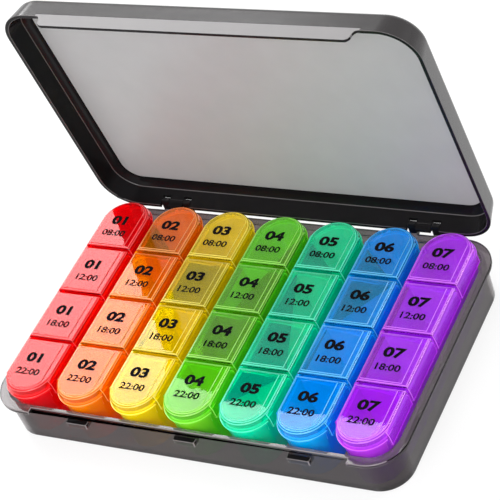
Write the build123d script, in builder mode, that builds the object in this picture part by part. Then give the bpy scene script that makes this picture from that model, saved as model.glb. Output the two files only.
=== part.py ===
from build123d import *
from math import atan, degrees, radians, tan
import os

os.makedirs("parts", exist_ok=True)

# All sizes are in millimetres and degrees.
# X runs along the week, Y towards the case hinge, Z up. The origin is the centre of the tray's underside.

# Layout of the week
strip_count = 7
column_pitch = 30.0
row_names = ["morning", "noon", "evening", "night"]
row_pitch = 31.375

# Day strips: a coloured bar with round ends, moulded with one open compartment per row
rim_z = 28.0
strip_radius = 14.0
end_overrun = 2.85
lip_height = 1.0
lip_overhang = 1.1
strip_wall = 1.2
strip_floor = 1.2
strip_draft = 4.0
strip_seat_gap = 0.2
partition_thickness = 1.2
right_face_x = 11.3
step_from_centre = 5.4

# Hinge between a small lid and its strip: pegs on the lid turn in lugs on the strip.
# There are 91 pegs and holes, so each has eight flat sides, and a peg's corners clear the hole's flats.
day_hinge_x = -12.4
day_hinge_above_rim = 2.2
peg_radius = 0.6
hinge_sides = 8
peg_clearance = 0.1
lug_radius = 1.15
lug_corner = 0.6
lug_thickness = 1.1
lug_foot = 0.5
end_lug_past_centre = 2.05
lug_side_gap = 0.2
hinge_side_drop = 1.25
rib_reach = 0.85
peg_tip_gap = 0.1

# Small lids: a cap with a raised label panel, a deep free skirt and two side skirts
day_lid_gap = 0.75
day_lid_rim_gap = 0.4
day_lid_height = 3.9
day_lid_radius = 13.5
day_lid_draft = 11.6
day_lid_wall = 1.1
day_lid_top_chamfer = 0.7
label_rise = 0.4
label_margin = 1.4
label_right_x = 9.7
free_skirt_depth = 5.6
free_skirt_flare = 0.4
free_skirt_end_gap = 0.8
side_skirt_thickness = 1.0
side_skirt_right_x = 9.2
side_skirt_drop_right = 2.5
side_skirt_drop_middle = 0.5
side_skirt_middle_x = 1.9

# Case tray
tray_rim_z = 22.8
tray_wall = 2.0
tray_floor = 2.0
tray_draft = 1.0
tray_corner_radius = 15.0
tray_base_chamfer = 2.0
tray_end_clearance = 0.4
tray_side_clearance = 2.4
flange_width = 3.0
flange_thickness = 2.0
flange_gap_half = 85.5
rim_chamfer = 1.5

# Latch catches on the tray's front wall
catch_spacing = 60.0
catch_count = 3
catch_width = 12.0
catch_reach = 2.4
catch_top_z = 18.7
catch_height = 3.4
catch_side_angle = 82.0

# Case lid, in its closed place; it is swung open at the end
lid_seat_gap = 0.2
lid_side_inset = 0.5
lid_front_overhang = 1.2
lid_back_past_hinge = 0.8
lid_corner_radius = 18.0
lid_height = 14.0
lid_draft = 11.3
lid_wall = 2.0
lid_top = 1.5
lid_top_fillet = 4.5
lid_inner_bevel_plan = 4.5
lid_inner_bevel_drop = 3.0
flap_half = 79.0
flap_depth = 6.0
flap_thickness = 1.5
gusset_thickness = 1.2
gusset_reach = 2.1
gusset_height = 5.5

# Case hinge at the back, two groups of knuckles on steel pins
case_hinge_clearance = 0.4
case_hinge_above_rim = 3.5
knuckle_radius = 2.0
knuckle_corner = 1.1
knuckle_group_from_end = 40.0
lid_knuckle_width = 8.0
tray_knuckle_width = 4.0
knuckle_gap = 0.3
pin_radius = 1.0
pin_clearance = 0.08
case_lid_open_angle = 83.1

# Places worked out from the sizes above
end_centre_y = len(row_names) / 2 * row_pitch + end_overrun - strip_radius
strip_half_length = end_centre_y + strip_radius
body_radius = strip_radius - lip_overhang
cavity_radius = body_radius - strip_wall
step_y = end_centre_y + step_from_centre
strip_base_z = tray_floor + strip_seat_gap
cavity_floor_z = strip_base_z + strip_floor
body_top_z = rim_z - lip_height
row_lines = [(len(row_names) / 2 - i) * row_pitch for i in range(1, len(row_names))]

day_hinge_z = rim_z + day_hinge_above_rim
hinge_side_z = day_hinge_z - hinge_side_drop
peg_hole_radius = peg_radius + peg_clearance
end_lug_y = end_centre_y + end_lug_past_centre

day_lid_rim_z = rim_z + day_lid_rim_gap
day_lid_top_z = day_lid_rim_z + day_lid_height
day_lid_under_z = day_lid_top_z - day_lid_wall
day_lid_top_radius = day_lid_radius - day_lid_height * tan(radians(day_lid_draft))
free_skirt_y = step_y - free_skirt_end_gap

half_week = (strip_count - 1) / 2 * column_pitch
body_radius_at_tray_rim = body_radius - (body_top_z - tray_rim_z) * tan(radians(strip_draft))
tray_inner_x = half_week + body_radius_at_tray_rim + tray_side_clearance
tray_inner_y = end_centre_y + body_radius_at_tray_rim + tray_end_clearance
tray_outer_x = tray_inner_x + tray_wall
tray_outer_y = tray_inner_y + tray_wall
flange_x = tray_outer_x + flange_width
flange_y = tray_outer_y + flange_width

case_hinge_y = flange_y + case_hinge_clearance + knuckle_radius
case_hinge_z = tray_rim_z + case_hinge_above_rim
case_hinge_axis = Axis((0, case_hinge_y, case_hinge_z), (1, 0, 0))
knuckle_group_x = flange_x - knuckle_group_from_end
pin_length = lid_knuckle_width + 2 * (knuckle_gap + tray_knuckle_width)
tray_knuckle_offset = (lid_knuckle_width + tray_knuckle_width) / 2 + knuckle_gap

lid_rim_z = tray_rim_z + lid_seat_gap
lid_half_x = flange_x - lid_side_inset
lid_front_y = -(flange_y + lid_front_overhang)
lid_back_y = case_hinge_y + lid_back_past_hinge
lid_under_z = lid_rim_z + lid_height - lid_top
lid_bevel_z = lid_under_z - lid_inner_bevel_drop
lid_bevel_inset = lid_wall + (lid_bevel_z - lid_rim_z) * tan(radians(lid_draft))
lid_bevel_angle = degrees(atan(lid_inner_bevel_plan / lid_inner_bevel_drop))


def facing_front(y):
    """The plane at y that looks along -Y, with local x along X and local y along Z."""
    return Plane.XZ.offset(-y)


def make_day_strip():
    """One day's strip at the centre of the week."""
    with BuildPart() as compartments:
        with BuildSketch(Plane.XY.offset(rim_z)):
            SlotCenterToCenter(2 * end_centre_y, 2 * cavity_radius, rotation=90)
        extrude(amount=cavity_floor_z - rim_z, taper=strip_draft)
        with BuildSketch(Plane.XY.offset(cavity_floor_z)):
            with Locations(*[(0, y) for y in row_lines]):
                Rectangle(2 * strip_radius, partition_thickness)
            with Locations((right_face_x - strip_wall, 0)):
                Rectangle(strip_radius, 2 * strip_half_length, align=(Align.MIN, Align.CENTER))
        extrude(amount=rim_z - cavity_floor_z, mode=Mode.SUBTRACT)

    with BuildPart() as day_strip:
        with BuildSketch(Plane.XY.offset(body_top_z)):
            SlotCenterToCenter(2 * end_centre_y, 2 * body_radius, rotation=90)
        extrude(amount=strip_base_z - body_top_z, taper=strip_draft)
        with BuildSketch(Plane.XY.offset(rim_z)):
            SlotCenterToCenter(2 * end_centre_y, 2 * strip_radius, rotation=90)
        extrude(amount=-lip_height)

        # The right wall stands back, so that the small lids' free skirts fit beside it
        with BuildSketch(Plane.XY.offset(strip_base_z)):
            with Locations((right_face_x, 0)):
                Rectangle(strip_radius, 2 * step_y, align=(Align.MIN, Align.CENTER))
        extrude(amount=rim_z - strip_base_z, mode=Mode.SUBTRACT)
        add(compartments.part, mode=Mode.SUBTRACT)

        for y in row_lines + [end_lug_y, -end_lug_y]:
            with BuildSketch(facing_front(y)):
                with Locations((day_hinge_x, rim_z - lug_foot)):
                    lug = Rectangle(
                        2 * lug_radius,
                        day_hinge_above_rim + lug_foot + lug_radius,
                        align=(Align.CENTER, Align.MIN),
                    )
                chamfer(lug.vertices().group_by(Axis.Y)[-1], lug_corner)
                with Locations((day_hinge_x, day_hinge_z)):
                    RegularPolygon(peg_hole_radius, hinge_sides, major_radius=False, mode=Mode.SUBTRACT)
            extrude(amount=lug_thickness / 2, both=True)
    return day_strip.part


def make_day_lid(is_end):
    """A small lid, closed, on the strip at the centre of the week.

    It covers the row behind the middle partition, or the row at the back end, which has a round end.
    """
    row_low_y = row_pitch if is_end else 0
    low_y = row_low_y + day_lid_gap
    high_y = strip_half_length if is_end else row_low_y + row_pitch - day_lid_gap
    rib_high_y = end_lug_y - lug_thickness / 2 - lug_side_gap
    low_peg_y = (row_low_y + peg_tip_gap, low_y)
    if is_end:
        high_peg_y = (rib_high_y, rib_high_y + lug_thickness)
    else:
        high_peg_y = (high_y, row_low_y + row_pitch - peg_tip_gap)

    with BuildPart() as day_lid:
        # Cap, tapered towards its top and cut off square at the gaps between rows
        with BuildSketch(Plane.XY.offset(day_lid_rim_z)):
            SlotCenterToCenter(2 * end_centre_y, 2 * day_lid_radius, rotation=90)
        extrude(amount=day_lid_height, taper=day_lid_draft)
        with BuildSketch(Plane.XY.offset(day_lid_rim_z)):
            with Locations((0, low_y)):
                Rectangle(2 * day_lid_radius, high_y - low_y, align=(Align.CENTER, Align.MIN))
        extrude(amount=day_lid_height, mode=Mode.INTERSECT)
        chamfer(day_lid.faces().sort_by(Axis.Z)[-1].edges(), day_lid_top_chamfer)
        with BuildSketch(Plane.XY.offset(day_lid_rim_z)):
            SlotCenterToCenter(2 * end_centre_y, 2 * (day_lid_radius - day_lid_wall), rotation=90)
        extrude(amount=day_lid_under_z - day_lid_rim_z, taper=day_lid_draft, mode=Mode.SUBTRACT)

        # The hinge side ends higher than the rest of the rim
        with BuildSketch(facing_front(high_y)):
            with Locations((day_hinge_x + lug_radius, hinge_side_z)):
                Rectangle(strip_radius, strip_radius, align=(Align.MAX, Align.MAX))
        extrude(amount=high_y - low_y, mode=Mode.SUBTRACT)

        # Raised panel that carries the label
        with BuildSketch(Plane.XY.offset(day_lid_top_z)):
            SlotCenterToCenter(2 * end_centre_y, 2 * (day_lid_top_radius - label_margin), rotation=90)
            with Locations((label_right_x, low_y + label_margin)):
                Rectangle(
                    2 * strip_radius,
                    high_y - low_y - 2 * label_margin,
                    align=(Align.MAX, Align.MIN),
                    mode=Mode.INTERSECT,
                )
        extrude(amount=label_rise)

        # Deep skirt at the opening side, outside the strip's wall
        skirt_high_y = min(high_y, free_skirt_y)
        with BuildSketch(facing_front(skirt_high_y)):
            with BuildLine():
                Polyline(
                    (day_lid_radius, day_lid_rim_z),
                    (day_lid_radius + free_skirt_flare, day_lid_rim_z - free_skirt_depth),
                    (day_lid_radius + free_skirt_flare - day_lid_wall, day_lid_rim_z - free_skirt_depth),
                    (day_lid_radius - day_lid_wall, day_lid_rim_z),
                    (day_lid_top_radius - day_lid_wall, day_lid_under_z + day_lid_wall / 2),
                    (day_lid_top_radius, day_lid_under_z),
                    close=True,
                )
            make_face()
        extrude(amount=skirt_high_y - low_y)

        # Side skirts beside the partitions, deeper towards the opening side
        side_skirt_high_ys = [low_y + side_skirt_thickness]
        if not is_end:
            side_skirt_high_ys.append(high_y)
        for y in side_skirt_high_ys:
            with BuildSketch(facing_front(y)):
                with BuildLine():
                    ThreePointArc(
                        (day_hinge_x - rib_reach, hinge_side_z),
                        (side_skirt_middle_x, day_lid_rim_z - side_skirt_drop_middle),
                        (side_skirt_right_x, day_lid_rim_z - side_skirt_drop_right),
                    )
                    Polyline(
                        (side_skirt_right_x, day_lid_rim_z - side_skirt_drop_right),
                        (side_skirt_right_x, day_lid_rim_z),
                        (day_lid_radius - day_lid_wall, day_lid_rim_z),
                        (day_lid_top_radius - day_lid_wall, day_lid_under_z + day_lid_wall / 2),
                        (day_hinge_x, day_lid_under_z + day_lid_wall / 2),
                        (day_hinge_x - rib_reach, hinge_side_z),
                    )
                make_face()
            extrude(amount=side_skirt_thickness)

        # At the round end a pocket clears the strip's end lug, and a short rib carries the peg beside it
        if is_end:
            with BuildSketch(facing_front(rib_high_y + lug_thickness + 2 * lug_side_gap)):
                with Locations((day_hinge_x + lug_radius + lug_side_gap, day_lid_under_z + day_lid_wall / 2)):
                    Rectangle(strip_radius, strip_radius, align=(Align.MAX, Align.MAX))
            extrude(amount=lug_thickness + 2 * lug_side_gap, mode=Mode.SUBTRACT)
            with BuildSketch(facing_front(rib_high_y)):
                with BuildLine():
                    Polyline(
                        (day_hinge_x - rib_reach, hinge_side_z),
                        (day_hinge_x + lug_radius, hinge_side_z),
                        (day_hinge_x + lug_radius, day_lid_under_z + day_lid_wall / 2),
                        (day_hinge_x, day_lid_under_z + day_lid_wall / 2),
                        close=True,
                    )
                make_face()
            extrude(amount=side_skirt_thickness)

        # Hinge pegs
        for peg_low_y, peg_high_y in [low_peg_y, high_peg_y]:
            with BuildSketch(facing_front(peg_high_y)):
                with Locations((day_hinge_x, day_hinge_z)):
                    RegularPolygon(peg_radius, hinge_sides)
            extrude(amount=peg_high_y - peg_low_y)
    return day_lid.part


# The case tray, with its flange, catches and half of the hinge
with BuildPart() as case_tray:
    with BuildSketch(Plane.XY.offset(tray_rim_z)):
        RectangleRounded(2 * tray_outer_x, 2 * tray_outer_y, tray_corner_radius)
    extrude(amount=-tray_rim_z, taper=tray_draft)
    chamfer(case_tray.faces().sort_by(Axis.Z)[0].edges(), tray_base_chamfer)

    with BuildSketch(Plane.XY.offset(tray_rim_z)):
        RectangleRounded(2 * flange_x, 2 * flange_y, tray_corner_radius + flange_width)
        with Locations((0, -tray_outer_y)):
            Rectangle(
                2 * flange_gap_half,
                flange_width,
                align=(Align.CENTER, Align.MAX),
                mode=Mode.SUBTRACT,
            )
    extrude(amount=-flange_thickness)

    with BuildSketch(Plane.XY.offset(tray_rim_z)):
        RectangleRounded(2 * tray_inner_x, 2 * tray_inner_y, tray_corner_radius - tray_wall)
    extrude(amount=tray_floor - tray_rim_z, taper=tray_draft, mode=Mode.SUBTRACT)
    rim_face = case_tray.faces().filter_by(Axis.Z).sort_by(Axis.Z)[-1]
    chamfer(rim_face.inner_wires()[0].edges(), rim_chamfer)

    with BuildSketch(Plane.XY.offset(catch_top_z)):
        with GridLocations(catch_spacing, 0, catch_count, 1):
            with Locations((0, -tray_outer_y + tray_wall / 2)):
                Trapezoid(
                    catch_width,
                    catch_reach + tray_wall / 2,
                    catch_side_angle,
                    rotation=180,
                    align=(Align.CENTER, Align.MIN),
                )
    extrude(amount=-catch_height)

    for group_x in [-knuckle_group_x, knuckle_group_x]:
        for side in [-1, 1]:
            with BuildSketch(Plane.YZ.offset(group_x + side * tray_knuckle_offset)):
                with BuildLine():
                    Polyline(
                        (case_hinge_y - knuckle_radius, case_hinge_z + knuckle_radius),
                        (case_hinge_y - knuckle_radius, tray_rim_z),
                        (flange_y - flange_width / 2, tray_rim_z),
                        (flange_y - flange_width / 2, tray_rim_z - flange_thickness),
                        (case_hinge_y, tray_rim_z - flange_thickness),
                        (case_hinge_y + knuckle_radius, tray_rim_z),
                        (case_hinge_y + knuckle_radius, case_hinge_z + knuckle_radius),
                        close=True,
                    )
                ear = make_face()
                chamfer(ear.vertices().group_by(Axis.Y)[-1], knuckle_corner)
                with Locations((case_hinge_y, case_hinge_z)):
                    Circle(pin_radius + pin_clearance, mode=Mode.SUBTRACT)
            extrude(amount=tray_knuckle_width / 2, both=True)

# The case lid, closed
with BuildPart() as case_lid:
    lid_centre_y = (lid_front_y + lid_back_y) / 2
    lid_depth = lid_back_y - lid_front_y
    with BuildSketch(Plane.XY.offset(lid_rim_z)):
        with Locations((0, lid_centre_y)):
            RectangleRounded(2 * lid_half_x, lid_depth, lid_corner_radius)
    extrude(amount=lid_height, taper=lid_draft)
    fillet(case_lid.faces().sort_by(Axis.Z)[-1].edges(), radius=lid_top_fillet)
    with BuildSketch(Plane.XY.offset(lid_rim_z)):
        with Locations((0, lid_centre_y)):
            RectangleRounded(
                2 * (lid_half_x - lid_wall),
                lid_depth - 2 * lid_wall,
                lid_corner_radius - lid_wall,
            )
    extrude(amount=lid_bevel_z - lid_rim_z, taper=lid_draft, mode=Mode.SUBTRACT)
    with BuildSketch(Plane.XY.offset(lid_bevel_z)):
        with Locations((0, lid_centre_y)):
            RectangleRounded(
                2 * (lid_half_x - lid_bevel_inset),
                lid_depth - 2 * lid_bevel_inset,
                lid_corner_radius - lid_bevel_inset,
            )
    extrude(amount=lid_inner_bevel_drop, taper=lid_bevel_angle, mode=Mode.SUBTRACT)

    # Front flap, with an S-shaped end at each side
    with BuildSketch(facing_front(lid_front_y + flap_thickness)):
        with BuildLine():
            bottom = Line((0, lid_rim_z - flap_depth), (flap_half, lid_rim_z - flap_depth))
            low_turn = JernArc(bottom @ 1, bottom % 1, flap_depth / 2, 90)
            high_turn = JernArc(low_turn @ 1, low_turn % 1, flap_depth / 2, -90)
            Polyline(
                high_turn @ 1,
                high_turn @ 1 + (0, flap_thickness),
                (0, lid_rim_z + flap_thickness),
                (0, lid_rim_z - flap_depth),
            )
        make_face()
        mirror(about=Plane.YZ)
    extrude(amount=flap_thickness)

    # Gussets inside the flap's ends
    for x in [-flap_half, flap_half]:
        with BuildSketch(Plane.YZ.offset(x)):
            with BuildLine():
                Polyline(
                    (lid_front_y + flap_thickness / 2, lid_rim_z + lid_wall),
                    (lid_front_y + flap_thickness + gusset_reach, lid_rim_z + lid_wall),
                    (lid_front_y + flap_thickness, lid_rim_z - gusset_height),
                    (lid_front_y + flap_thickness / 2, lid_rim_z - gusset_height),
                    close=True,
                )
            make_face()
        extrude(amount=gusset_thickness / 2, both=True)

    # Knuckles in the back wall, which is notched at both sides of each for the tray's knuckles
    for group_x in [-knuckle_group_x, knuckle_group_x]:
        with BuildSketch(Plane.YZ.offset(group_x)):
            with Locations((case_hinge_y, case_hinge_z)):
                Circle(knuckle_radius)
        extrude(amount=lid_knuckle_width / 2, both=True)
        with BuildSketch(Plane.XY.offset(lid_rim_z)):
            for side in [-1, 1]:
                with Locations((group_x + side * tray_knuckle_offset, case_hinge_y)):
                    Rectangle(tray_knuckle_width + 2 * knuckle_gap, 4 * knuckle_radius)
        extrude(amount=case_hinge_z + knuckle_radius + case_hinge_clearance - lid_rim_z, mode=Mode.SUBTRACT)
        with BuildSketch(Plane.YZ.offset(group_x)):
            with Locations((case_hinge_y, case_hinge_z)):
                Circle(pin_radius + pin_clearance)
        extrude(amount=pin_length / 2, both=True, mode=Mode.SUBTRACT)

# The case lid is kept in the place that it has when the box stands open
case_lid.part = case_lid.part.rotate(case_hinge_axis, -case_lid_open_angle)

# The steel pins of the case hinge
with BuildPart() as case_hinge_pin_left:
    with BuildSketch(Plane.YZ.offset(-knuckle_group_x)):
        with Locations((case_hinge_y, case_hinge_z)):
            Circle(pin_radius)
    extrude(amount=pin_length / 2, both=True)

with BuildPart() as case_hinge_pin_right:
    with BuildSketch(Plane.YZ.offset(knuckle_group_x)):
        with Locations((case_hinge_y, case_hinge_z)):
            Circle(pin_radius)
    extrude(amount=pin_length / 2, both=True)

case_tray.part.label = "case_tray"
export_step(case_tray.part, "parts/case_tray.step")
case_lid.part.label = "case_lid"
export_step(case_lid.part, "parts/case_lid.step")
case_hinge_pin_left.part.label = "case_hinge_pin_left"
export_step(case_hinge_pin_left.part, "parts/case_hinge_pin_left.step")
case_hinge_pin_right.part.label = "case_hinge_pin_right"
export_step(case_hinge_pin_right.part, "parts/case_hinge_pin_right.step")

# The week: each day has a strip and one small lid per row
strip = make_day_strip()
end_lid = make_day_lid(is_end=True)
middle_lid = make_day_lid(is_end=False)
day_lids = [end_lid, middle_lid, middle_lid.mirror(Plane.XZ), end_lid.mirror(Plane.XZ)]
for day in range(1, strip_count + 1):
    place = Location((column_pitch * (day - 1) - half_week, 0, 0))
    day_strip = strip.moved(place)
    day_strip.label = f"day_strip_{day}"
    export_step(day_strip, f"parts/day_strip_{day}.step")
    for row_name, lid in zip(row_names, day_lids):
        day_lid = lid.moved(place)
        day_lid.label = f"lid_{day}_{row_name}"
        export_step(day_lid, f"parts/lid_{day}_{row_name}.step")
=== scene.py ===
import bmesh
import bpy
from math import copysign, radians
from mathutils import Matrix, Vector


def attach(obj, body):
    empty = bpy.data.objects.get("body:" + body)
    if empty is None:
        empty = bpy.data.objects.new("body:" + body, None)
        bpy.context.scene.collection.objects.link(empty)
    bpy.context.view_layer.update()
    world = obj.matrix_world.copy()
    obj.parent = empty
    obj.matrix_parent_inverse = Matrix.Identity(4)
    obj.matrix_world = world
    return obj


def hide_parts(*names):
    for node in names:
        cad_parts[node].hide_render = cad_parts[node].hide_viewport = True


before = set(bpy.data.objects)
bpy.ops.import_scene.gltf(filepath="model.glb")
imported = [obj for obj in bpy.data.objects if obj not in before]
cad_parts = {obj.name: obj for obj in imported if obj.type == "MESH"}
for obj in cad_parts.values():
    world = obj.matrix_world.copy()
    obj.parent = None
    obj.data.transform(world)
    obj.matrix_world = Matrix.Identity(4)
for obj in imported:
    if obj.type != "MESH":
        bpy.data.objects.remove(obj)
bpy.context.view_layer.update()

# Sizes and places are in millimetres, unless a comment says otherwise
MM = 0.001

# The week: seven strips along X, each with four small lids
days = range(1, 8)
middle_day = 4
row_low_y = {"morning": 31.375, "noon": 0.0, "evening": -31.375, "night": -62.75}
times = {"morning": "08:00", "noon": "12:00", "evening": "18:00", "night": "22:00"}
column_pitch = 30.0
panel_top_z = 32.7

# Print on a small lid: letter size, added weight, stretch along X, and the line's height up the panel
number_print = (7.7, 0.36, 1.3, 16.3)
time_print = (5.3, 0.13, 1.15, 8.3)
print_shift_x = -0.8
print_above_panel = 0.03

# Hinges of the small lids: how far each reaches in from its strip's side, and its lowest and highest place
small_hinge_reach = 4.4
small_hinge_z = (28.5, 31.6)

# Case hinge: its axis, its lowest Y and highest Z on the tray, and its two groups of knuckles
case_hinge = Vector((0, 72.006, 26.3))
case_hinge_low_y = 69.7
case_hinge_high_z = 29.0
knuckle_group_x, knuckle_group_half = 70.0, 12.0
case_lid_open_angle = 83.1

# Case tray: its outline has rounded corners of these radii around four corner centres.
# Its chamfers are large in the solid and small here, each in a zone of this height and depth.
tray_corner = Vector((92.006, 51.606, 0))
tray_rim_z, tray_base_radius, tray_inner_radius = 22.8, 14.602, 13.0
solid_base_chamfer, solid_rim_chamfer, small_chamfer = 2.0, 1.5, 0.4
chamfer_height, chamfer_depth = 0.5, 0.6

# Case tray: where its rounded upper edges, its front rim, its hinge ears and its catches' tops are
upper_edges_z = 20.7
front_rim_y = -64.5
ear_low_z = 22.9
catch_high_y = -66.8
catch_top_z = (18, 19)

# Case lid, in its closed place: its rim, its front, its flap, and the edges around its knuckles.
# The flap and its gussets reach back from the front, and the flap's ends reach out from its half width.
lid_rim_z, lid_front_y = 23.0, -70.806
flap_depth, flap_half = 6.0, 79.0
flap_reach, gusset_reach, flap_end_reach = 1.6, 4.5, 3.5
knuckle_edges_z, knuckle_edges_y = 31.0, 66.0

# Rounding: outer edges that turn by more than this many degrees are rounded, and the rest stays crisp
rounded_turn = 28
flat_turn = 1.0
crisp_shading_turn = 40
same_point = 0.004

# Colours of the days' plastics, as sRGB
day_colours = {
    1: (252, 18, 36),
    2: (255, 166, 6),
    3: (252, 236, 8),
    4: (156, 240, 52),
    5: (0, 246, 208),
    6: (0, 202, 255),
    7: (222, 78, 255),
}


def linear(rgb):
    """An sRGB colour from 0 to 255, as the linear values that a socket takes."""
    scaled = [value / 255 for value in rgb]
    return tuple(v / 12.92 if v <= 0.04045 else ((v + 0.055) / 1.055) ** 2.4 for v in scaled) + (1.0,)


def shade(colour, factor):
    """A linear colour made lighter or darker."""
    return tuple(channel * factor for channel in colour[:3]) + (1.0,)


def paler(colour, amount):
    """A linear colour moved towards white."""
    return tuple(channel + (1 - channel) * amount for channel in colour[:3]) + (1.0,)


def grey(level):
    """A linear grey."""
    return (level, level, level, 1.0)


# Shader maths as Python expressions
class Wire:
    """One socket of a finish's nodes. Adding, subtracting and multiplying make Math nodes."""

    def __init__(self, finish, socket):
        self.finish = finish
        self.socket = socket

    def maths(self, operation, first, second):
        return self.finish.node("ShaderNodeMath", {"operation": operation}, {0: first, 1: second})

    def __add__(self, other):
        return self.maths("ADD", self, other)

    def __sub__(self, other):
        return self.maths("SUBTRACT", self, other)

    def __mul__(self, other):
        return self.maths("MULTIPLY", self, other)

    def __rsub__(self, other):
        return self.maths("SUBTRACT", other, self)

    __radd__ = __add__
    __rmul__ = __mul__


class Finish:
    """A material that is built up node by node."""

    def __init__(self, name):
        self.material = bpy.data.materials.new(name)
        self.material.use_nodes = True
        self.tree = self.material.node_tree
        self.tree.nodes.clear()

    def node(self, kind, settings, sockets, output=0):
        """Adds a node: its settings come first, then the value or wire of each socket. Gives one output."""
        made = self.tree.nodes.new(kind)
        for setting, value in settings.items():
            setattr(made, setting, value)
        for socket, value in sockets.items():
            if isinstance(value, Wire):
                self.tree.links.new(value.socket, made.inputs[socket])
            else:
                made.inputs[socket].default_value = value
        return Wire(self, made.outputs[output]) if made.outputs else None

    def noise(self, scale, detail=2.0, roughness=0.5):
        """Noise from 0 to 1 over the piece's own coordinates, with scale in cells per metre."""
        place = self.node("ShaderNodeTexCoord", {}, {}, "Object")
        sockets = {"Vector": place, "Scale": scale, "Detail": detail, "Roughness": roughness}
        return self.node("ShaderNodeTexNoise", {}, sockets)

    def colour_mix(self, factor, low, high):
        """A colour between two others."""
        return self.node("ShaderNodeMix", {"data_type": "RGBA"}, {0: factor, 6: low, 7: high}, 2)

    def bump(self, height, distance):
        """A normal that follows a height, with distance in metres."""
        return self.node("ShaderNodeBump", {}, {"Distance": distance, "Height": height})

    def is_ray(self, kind):
        """1 for light paths of a kind, such as Camera or Shadow, and 0 for the rest."""
        return self.node("ShaderNodeLightPath", {}, {}, f"Is {kind} Ray")

    def plastic(self, sockets):
        return self.node("ShaderNodeBsdfPrincipled", {}, sockets)

    def surface_mix(self, factor, low, high):
        """A surface between two others."""
        return self.node("ShaderNodeMixShader", {}, {0: factor, 1: low, 2: high})

    def surface(self, wire):
        """Closes the finish, and gives its material."""
        self.node("ShaderNodeOutputMaterial", {}, {"Surface": wire})
        return self.material


# Moulded plastic: its flow lines, sheen and ripples in cells per metre, and the ripples' depth in metres
flow_cells, sheen_cells, ripple_cells = 70.0, 420.0, 160.0
sheen_spread = 0.04
ripple_depth = 0.00004


def moulded_plastic(name, colour, clear, polish, passed=None, coat=0.0, refraction=1.46):
    """Glossy moulded plastic. Clear is the share of it that light passes through, and polish its roughness.

    Passed is the tint of the lamps' light that reaches what lies behind it.
    """
    f = Finish(name)
    flow = f.noise(flow_cells, 3.0)
    body = f.plastic(
        {
            "Base Color": f.colour_mix(flow, shade(colour, 0.92), shade(colour, 1.06)),
            "Roughness": f.noise(sheen_cells) * sheen_spread + polish,
            "Normal": f.bump(f.noise(ripple_cells, 1.0), ripple_depth),
            "IOR": refraction,
            "Transmission Weight": clear,
            "Coat Weight": coat,
            "Coat Roughness": 0.03,
        }
    )
    if passed is None:
        return f.surface(body)
    lamp_light = f.node("ShaderNodeBsdfTransparent", {}, {"Color": passed})
    return f.surface(f.surface_mix(f.is_ray("Shadow"), body, lamp_light))


def printed_ink():
    f = Finish("label_ink")
    grain = f.noise(2600.0, 2.0)
    colour = f.colour_mix(grain, (0.003, 0.003, 0.004, 1), (0.008, 0.008, 0.009, 1))
    return f.surface(f.plastic({"Base Color": colour, "Roughness": grain * 0.15 + 0.75, "IOR": 1.1}))


def pin_steel():
    f = Finish("pin_steel")
    drawn = f.noise(900.0, 4.0, 0.7)
    colour = f.colour_mix(drawn, (0.42, 0.42, 0.44, 1), (0.6, 0.6, 0.61, 1))
    shine = {"Metallic": 1.0, "Roughness": drawn * 0.2 + 0.18, "Normal": f.bump(drawn, 0.00003)}
    return f.surface(f.plastic({"Base Color": colour, **shine}))


def floor_white():
    """A matt white floor that the camera, reflections and clear plastic see as nearly plain white."""
    white_share = 0.75
    f = Finish("floor_white")
    lit = f.plastic({"Base Color": f.colour_mix(f.noise(30.0), grey(0.93), grey(0.96)), "Roughness": 0.9})
    white = f.node("ShaderNodeEmission", {}, {"Color": grey(1), "Strength": 1.0})
    share = f.is_ray("Glossy")
    for kind in ["Transmission", "Camera"]:
        share = share.maths("MAXIMUM", share, f.is_ray(kind))
    return f.surface(f.surface_mix(share * white_share, lit, white))


# Each edge finish is a little paler than its plastic: a painted highlight along the edges, where clear
# plastic gathers light
lid_plastic, lid_edge_highlight, strip_plastic, strip_edge_highlight = {}, {}, {}, {}
for day, rgb in day_colours.items():
    colour = linear(rgb)
    passed = paler(colour, 0.45)
    lid_plastic[day] = moulded_plastic(
        f"lid_plastic_day_{day}", colour, clear=0.85, polish=0.01, passed=passed, refraction=1.35
    )
    lid_edge_highlight[day] = moulded_plastic(
        f"lid_edge_day_{day}", paler(colour, 0.12), clear=0.35, polish=0.06, passed=passed, coat=0.2
    )
    strip_plastic[day] = moulded_plastic(
        f"strip_plastic_day_{day}", colour, clear=0.6, polish=0.03, passed=shade(passed, 0.85)
    )
    strip_edge_highlight[day] = moulded_plastic(
        f"strip_edge_day_{day}", paler(colour, 0.15), clear=0.4, polish=0.05, passed=passed
    )

tray_passed = linear((150, 144, 144))
tray_plastic = moulded_plastic(
    "case_tray_plastic", linear((118, 110, 112)), clear=0.92, polish=0.03, passed=tray_passed, refraction=1.32
)
# Paler finish on the tray's rounded edges: a painted highlight
tray_edge_highlight = moulded_plastic(
    "case_tray_edge", linear((140, 133, 134)), clear=0.3, polish=0.06, passed=tray_passed
)
# Flat tops of the rim and flange: a paler, more opaque copy of the tray plastic, as a painted reflection
tray_flange_reflection = moulded_plastic(
    "case_tray_flange_plastic", linear((112, 106, 107)), clear=0.6, polish=0.05, passed=tray_passed
)
lid_frame = moulded_plastic(
    "case_lid_frame_plastic", linear((44, 41, 42)), clear=0.1, polish=0.2, refraction=1.4
)
# Paler finish on the case lid's rounded edges: a painted highlight
lid_frame_edge_highlight = moulded_plastic("case_lid_edge", linear((84, 80, 81)), clear=0.1, polish=0.1)
# Near-black plastic: painted shade on the case lid's inside and on the tray's dark spots, the same smoky
# plastic as the frame
painted_shade_black = moulded_plastic(
    "case_lid_inner_plastic", linear((22, 21, 22)), clear=0.0, polish=0.15, refraction=1.2
)
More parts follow.
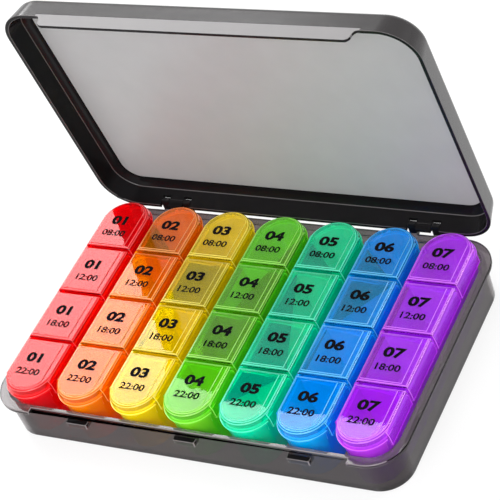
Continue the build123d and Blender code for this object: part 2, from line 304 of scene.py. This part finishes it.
# The flap: the frame's plastic painted paler, as painted light shining through it
lid_flap_painted_light = moulded_plastic("case_lid_flap_plastic", linear((112, 109, 110)), clear=0.2, polish=0.3)
lid_window = moulded_plastic("case_lid_window_plastic", linear((186, 185, 186)), clear=0.6, polish=0.35)
steel = pin_steel()
ink = printed_ink()

# Every dressed piece has its plastic first and its edge finish, where it has one, second. The edge finish is
# a paler painted highlight.
BODY, EDGE = 0, 1


def near_hinge(point):
    """Whether a point lies on the small parts of a hinge, which stay as crisp as they are."""
    x, y, z = (value / MM for value in point)
    from_strip_side = (x + column_pitch / 2) % column_pitch
    on_small_hinge = from_strip_side < small_hinge_reach and small_hinge_z[0] < z < small_hinge_z[1]
    on_case_hinge = y > case_hinge_low_y and z < case_hinge_high_z
    return on_small_hinge or on_case_hinge


def from_corner(point):
    """The centre of the tray's nearest corner or straight, and the way out from it to a point."""
    x, y = point.x / MM, point.y / MM
    centre = Vector((copysign(min(abs(x), tray_corner.x), x), copysign(min(abs(y), tray_corner.y), y), 0))
    return centre, Vector((x, y, 0)) - centre


def on_crisp_tray(point):
    """Whether a point lies on the small chamfer under the tray's base or inside its rim, or at its hinge."""
    z = point.z / MM
    near_inside = from_corner(point)[1].length < tray_inner_radius + chamfer_depth
    inside_rim = z > tray_rim_z - chamfer_height and near_inside
    return z < chamfer_height or inside_rim or near_hinge(point)


def small_chamfers(work):
    """Makes the tray's chamfers small: the one under its base and the one inside its rim.

    Both are small on the real tray. Only the solid has large ones, for room around the strips.
    """
    same_height, same_radius = 0.05, 0.2
    wall_middle = tray_inner_radius + 0.8
    solid_rim_radius = tray_inner_radius + solid_rim_chamfer
    solid_step_z = tray_rim_z - solid_rim_chamfer
    for vert in work.verts:
        z = vert.co.z / MM
        centre, out = from_corner(vert.co)
        if z < same_height:
            radius, height = tray_base_radius - small_chamfer, 0.0
        elif abs(z - solid_base_chamfer) < same_height and out.length > wall_middle:
            radius, height = tray_base_radius, small_chamfer
        elif abs(z - tray_rim_z) < same_height and abs(out.length - solid_rim_radius) < same_radius:
            radius, height = tray_inner_radius + small_chamfer, tray_rim_z
        elif abs(z - solid_step_z) < same_height and out.length < wall_middle:
            radius, height = tray_inner_radius, tray_rim_z - small_chamfer
        else:
            continue
        vert.co = (centre + out.normalized() * radius + Vector((0, 0, height))) * MM


def placed(name, data):
    """A new object in the scene."""
    made = bpy.data.objects.new(name, data)
    bpy.context.scene.collection.objects.link(made)
    return made


def dressed(
    node, body, width, plastic, edge=None, steepest_inner=180, reshape=None, crisp=near_hinge
):
    """A piece in place of a CAD node: its outer edges are rounded to a width, but for crisp places.

    Inner edges are rounded too where they turn by more than the steepest one that stays, in degrees.
    """
    work = bmesh.new()
    work.from_mesh(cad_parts[node].data)
    bmesh.ops.remove_doubles(work, verts=work.verts, dist=same_point * MM)
    bmesh.ops.dissolve_limit(work, angle_limit=radians(flat_turn), verts=work.verts, edges=work.edges)
    if reshape:
        reshape(work)
    for face in work.faces:
        face.smooth = True
        face.material_index = BODY
    soft_edges = []
    for outline in work.edges:
        middle = (outline.verts[0].co + outline.verts[1].co) / 2
        if outline.is_manifold and not crisp(middle):
            turn = outline.calc_face_angle_signed()
            if turn > radians(rounded_turn) or turn < -radians(steepest_inner):
                soft_edges.append(outline)
    bmesh.ops.bevel(
        work,
        geom=soft_edges,
        offset=width * MM,
        offset_type="OFFSET",
        segments=2,
        profile=0.5,
        affect="EDGES",
        clamp_overlap=False,
        material=EDGE if edge else -1,
        loop_slide=True,
    )
    mesh = bpy.data.meshes.new(f"{node}_dressed")
    work.to_mesh(mesh)
    work.free()
    mesh.set_sharp_from_angle(angle=radians(crisp_shading_turn))
    mesh.materials.append(plastic)
    if edge:
        mesh.materials.append(edge)
    piece = placed(f"{node}_dressed", mesh)
    shading = piece.modifiers.new("flat_faces_stay_flat", "WEIGHTED_NORMAL")
    shading.keep_sharp = True
    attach(piece, body)
    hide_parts(node)
    return piece


def more_finishes(piece, *finishes):
    """Gives a piece more finishes, and the number of each for the piece's faces."""
    numbers = []
    for finish in finishes:
        numbers.append(len(piece.data.materials))
        piece.data.materials.append(finish)
    return numbers


# Camera: the photograph's viewing angle
right = Vector((0.86551, 0.40202, -0.29878))
up = Vector((-0.09195, 0.71389, 0.69419))
forward = Vector((-0.49238, 0.57335, -0.65485))
camera_data = bpy.data.cameras.new("camera")
camera_data.lens = 148.7
camera_data.sensor_width = 36.0
camera = placed("camera", camera_data)
camera.matrix_world = Matrix((right, up, -forward)).transposed().to_4x4()
camera.location = Vector((486.73, -538.72, 693.12)) * MM
bpy.context.scene.camera = camera

# The case: tray, lid and hinge pins
tray = dressed(
    "case_tray",
    body="tray",
    width=0.4,
    plastic=tray_plastic,
    edge=tray_edge_highlight,
    reshape=small_chamfers,
    crisp=on_crisp_tray,
)
case_lid = dressed(
    "case_lid",
    body="case_lid",
    width=0.25,
    plastic=lid_frame,
    edge=lid_frame_edge_highlight,
    steepest_inner=40,
)
for side in ["left", "right"]:
    dressed(f"case_hinge_pin_{side}", body="tray", width=0.15, plastic=steel)

# The flat top of the case lid is a pale window in its dark frame. Its inside and rim are painted nearly
# black, as painted shade.
# The flap is paler, as painted light, with a lower edge of painted shade. Faces are found in the place that
# they have on the closed lid.
WINDOW, SHADE_BLACK, FLAP = more_finishes(case_lid, lid_window, painted_shade_black, lid_flap_painted_light)
closing = Matrix.Rotation(radians(case_lid_open_angle), 3, "X")
lid_out = closing.inverted() @ Vector((0, 0, 1))
window_faces = [
    face for face in case_lid.data.polygons if face.area > 0.01 and abs(face.normal.dot(lid_out)) > 0.999
]
window_centre = sum((face.center for face in window_faces), Vector()) / len(window_faces)


def case_lid_finish(face):
    """The number of the finish of one face of the case lid."""
    below_rim, lower_edge_height = 0.3, 0.5
    place = closing @ (face.center / MM - case_hinge) + case_hinge
    faces_out = face.normal.dot(lid_out)
    if face in window_faces:
        return WINDOW
    # Below the rim at the front: the flap gets the paler painted light, its lower edge and the gussets
    # painted shade
    if place.z < lid_rim_z - below_rim and place.y < lid_front_y + gusset_reach:
        at_lower_edge = place.z < lid_rim_z - flap_depth + lower_edge_height or faces_out < -0.3
        past_flap_end = abs(place.x) > flap_half + flap_end_reach
        on_gusset = place.y > lid_front_y + flap_reach or past_flap_end
        return SHADE_BLACK if at_lower_edge or on_gusset else FLAP
    # Rounded edges at the knuckles get painted shade, the rest the paler painted highlight
    if face.material_index == EDGE:
        in_knuckle_group = abs(abs(place.x) - knuckle_group_x) < knuckle_group_half
        at_knuckles = place.z < knuckle_edges_z and place.y > knuckle_edges_y and in_knuckle_group
        return SHADE_BLACK if at_knuckles else EDGE
    # Faces that look inwards or towards the window get painted shade
    faces_window = faces_out < 0.1 and face.normal.dot(window_centre - face.center) > 0
    return SHADE_BLACK if faces_out < -0.9 or faces_window else BODY


for face in case_lid.data.polygons:
    face.material_index = case_lid_finish(face)

# The hinge ears, the tops of the catches, the flange's outline and the edge under the tray are painted nearly
# black, as painted shade.
# The flange's top is pale, as a painted reflection, and the front rim is pale, as a painted highlight.
TRAY_SHADE_BLACK, TRAY_FLANGE_REFLECTION = more_finishes(tray, painted_shade_black, tray_flange_reflection)


def tray_finish(face):
    """The number of the finish of one face of the tray."""
    y, z = face.center.y / MM, face.center.z / MM
    on_ear = y > case_hinge_low_y and z > ear_low_z
    on_catch_top = y < catch_high_y and face.normal.z > 0.9 and catch_top_z[0] < z < catch_top_z[1]
    on_base_edge = z < chamfer_height and -0.99 < face.normal.z < -0.1
    # Painted shade on the ears, the catches' tops and the edge under the base
    if on_ear or on_catch_top or on_base_edge:
        return TRAY_SHADE_BLACK
    # The front rim keeps the paler edge finish, a painted highlight
    if face.material_index == EDGE and y < front_rim_y:
        return EDGE
    # Flat tops of the rim and flange: a painted reflection
    if z > tray_rim_z - 0.1 and face.normal.z > 0.99:
        return TRAY_FLANGE_REFLECTION
    # Other upper edges: painted shade
    if face.material_index == EDGE and z > upper_edges_z:
        return TRAY_SHADE_BLACK
    return face.material_index


for face in tray.data.polygons:
    face.material_index = tray_finish(face)


def label(day, row):
    """The print on one small lid: the day's number with the hour under it."""
    lines = []
    centre_x = (day - middle_day) * column_pitch + print_shift_x
    for text, (size, weight, stretch, line_y) in [(f"0{day}", number_print), (times[row], time_print)]:
        curve = bpy.data.curves.new(f"label_{day}_{row}", "FONT")
        curve.body = text
        curve.align_x = "CENTER"
        curve.size = size * MM
        curve.offset = weight * MM
        curve.resolution_u = 3
        line = placed("print", curve)
        line.location = Vector((centre_x, row_low_y[row] + line_y, panel_top_z + print_above_panel)) * MM
        line.scale.x = stretch
        lines.append(line)
    bpy.context.view_layer.update()
    work = bmesh.new()
    for line in lines:
        flat = bpy.data.meshes.new_from_object(line)
        flat.transform(line.matrix_world)
        work.from_mesh(flat)
        bpy.data.meshes.remove(flat)
        bpy.data.objects.remove(line)
    mesh = bpy.data.meshes.new(f"label_{day}_{row}")
    work.to_mesh(mesh)
    work.free()
    mesh.materials.append(ink)
    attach(placed(f"label_{day}_{row}", mesh), f"lid_{day}_{row}")


# The week: each strip with its small lids and their labels
strip_edge_width, lid_edge_width = 0.2, 0.3
for day in days:
    dressed(f"day_strip_{day}", f"strip_{day}", strip_edge_width, strip_plastic[day], strip_edge_highlight[day])
    for row in row_low_y:
        lid = f"lid_{day}_{row}"
        dressed(lid, lid, lid_edge_width, lid_plastic[day], lid_edge_highlight[day])
        label(day, row)

# Floor, in metres, a little below the object so that the two don't share a plane
floor_half = 6.0
floor_mesh = bpy.data.meshes.new("floor")
floor_corners = [(x * floor_half, y * floor_half, 0) for x, y in [(-1, -1), (1, -1), (1, 1), (-1, 1)]]
floor_mesh.from_pydata(floor_corners, [], [(0, 1, 2, 3)])
floor_mesh.materials.append(floor_white())
floor = placed("floor", floor_mesh)
floor.location.z = -0.0002

# World and lamps
world = bpy.data.worlds.new("studio")
bpy.context.scene.world = world
world.use_nodes = True
background = world.node_tree.nodes["Background"].inputs
background["Color"].default_value = grey(1)
background["Strength"].default_value = 0.9


def softbox(name, place, target, width, height, power):
    """A rectangular lamp at place that looks at target, with its sizes in metres."""
    lamp = bpy.data.lights.new(name, "AREA")
    lamp.shape = "RECTANGLE"
    lamp.size = width
    lamp.size_y = height
    lamp.energy = power
    holder = placed(name, lamp)
    holder.location = place
    holder.rotation_euler = (Vector(target) - Vector(place)).to_track_quat("-Z", "Y").to_euler()


softbox("lamp_left_back", (-1.12, 1.14, 1.55), (0, 0, 0), width=0.95, height=0.95, power=20)
softbox("lamp_left_low", (-1.7, 1.3, 1.0), (0, 0, 0.1), width=0.6, height=0.6, power=8)
softbox("lamp_right", (1.5, 1.3, 1.1), (0, 0, 0), width=0.5, height=0.5, power=8)
softbox("lamp_front", (0.3, -1.5, 1.3), (0, 0, 0), width=1.2, height=0.8, power=22)

bpy.context.scene.cycles.transparent_max_bounces = 24

bpy.context.scene.view_settings.view_transform = "Standard"
